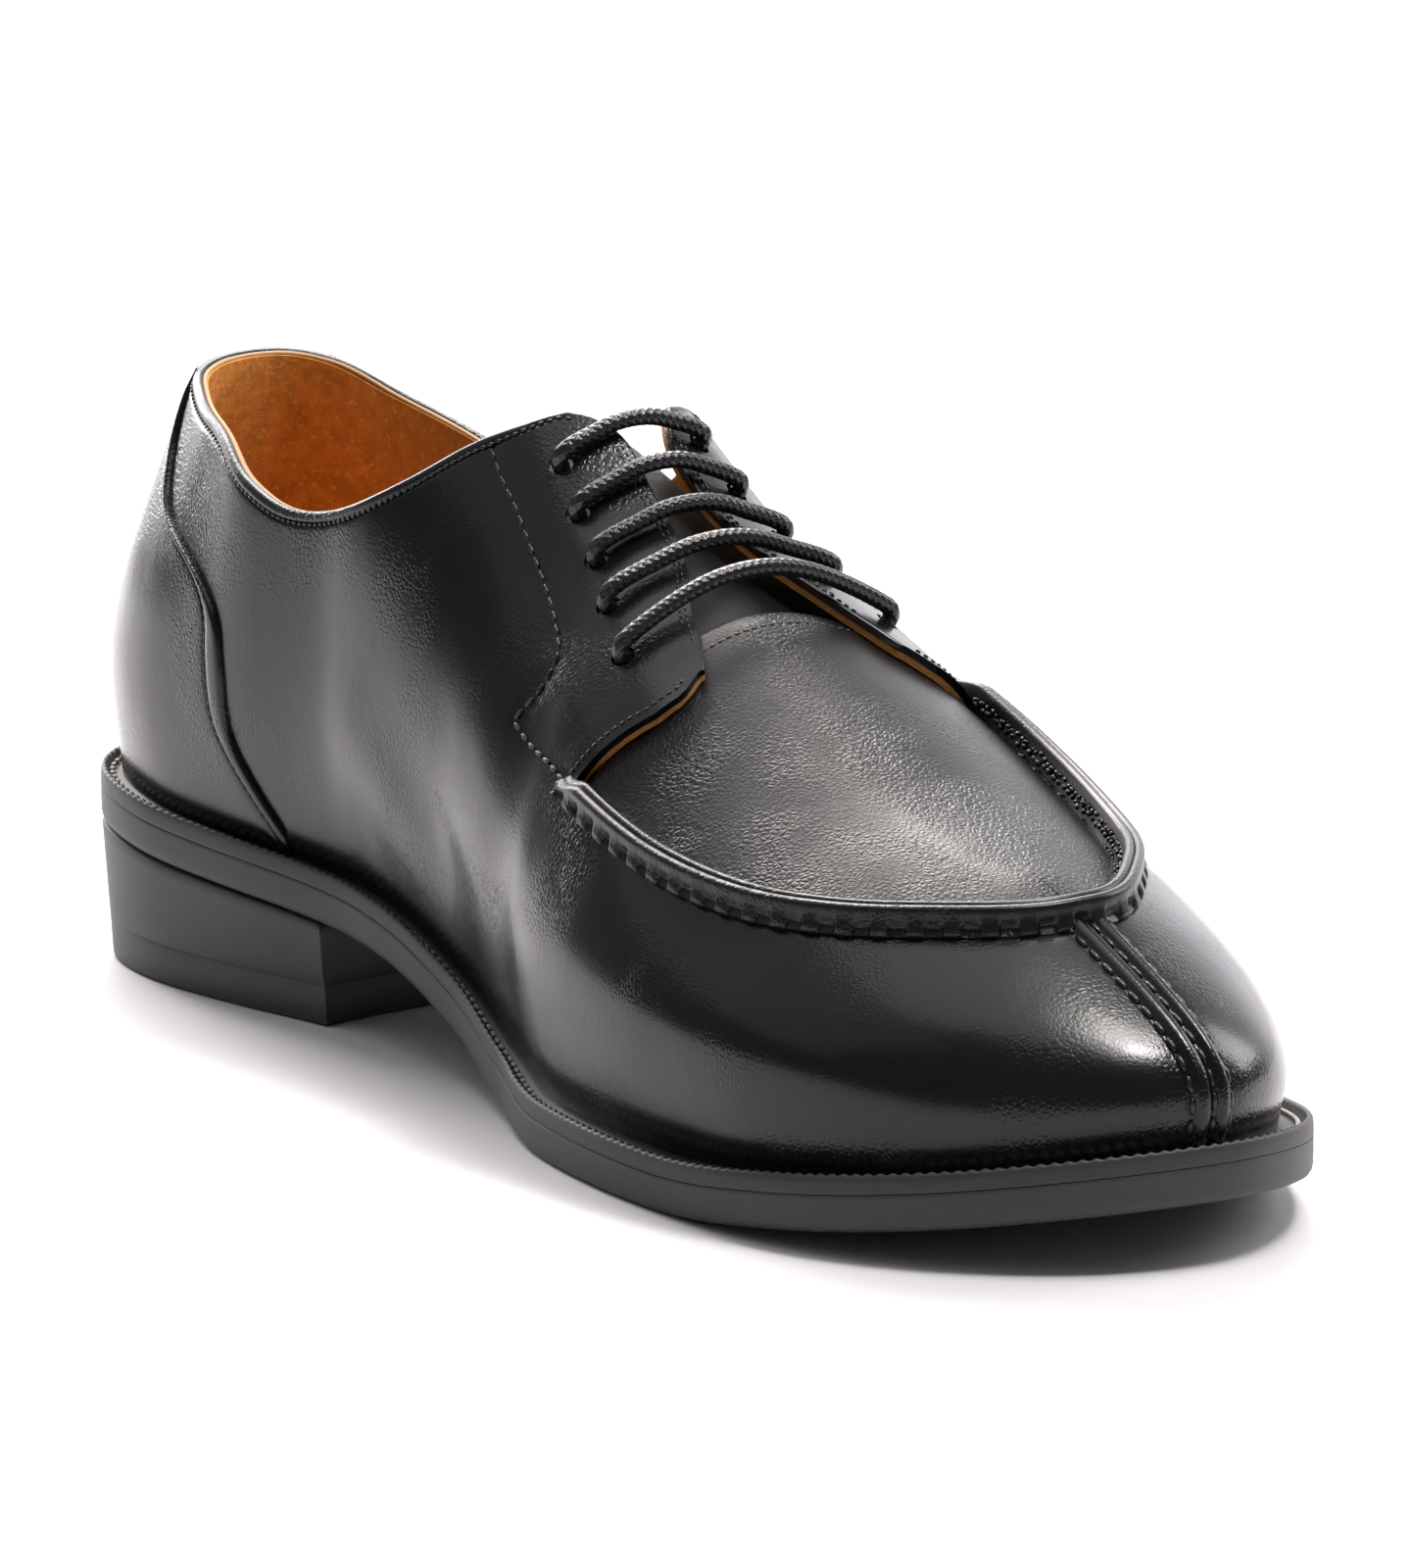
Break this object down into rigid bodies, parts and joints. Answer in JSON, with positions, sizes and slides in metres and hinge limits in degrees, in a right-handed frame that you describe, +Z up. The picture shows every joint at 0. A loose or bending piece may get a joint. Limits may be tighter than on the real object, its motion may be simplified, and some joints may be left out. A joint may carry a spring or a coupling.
{
  "type": "derby shoe",
  "caption": "Left split toe derby dress shoe in black leather, with a raised apron seam, centre toe seam, open lacing, flat welt and block heel.",
  "frame": {"origin": "on the floor, under the middle of the shoe's bounding box", "axes": "+X from heel to toe, +Y to the wearer's left, the outer side of this left shoe, +Z up"},
  "size_m": [0.3064, 0.1114, 0.1123],
  "materials": {
    "upper_leather": "black calf with a high soft polish, lined in tan",
    "tongue_leather": "black calf, soft polish",
    "sole_edge": "black waxed edge, satin",
    "welt_edge": "black stitched welt, satin",
    "heel_edge": "black waxed heel stack, satin, faint layers",
    "lining_tan": "tan lining leather, matt",
    "lace_black": "waxed round lace, black, slight gloss"
  },
  "bodies": {
    "root": {"outsole": "sole_edge", "welt": "welt_edge", "heel": "heel_edge", "insole": "lining_tan", "upper": "upper_leather", "tongue": "tongue_leather", "lace_bar_1": "lace_black", "lace_bar_2": "lace_black", "lace_bar_3": "lace_black", "lace_bar_4": "lace_black", "lace_bar_5": "lace_black"}
  },
  "joints": []
}
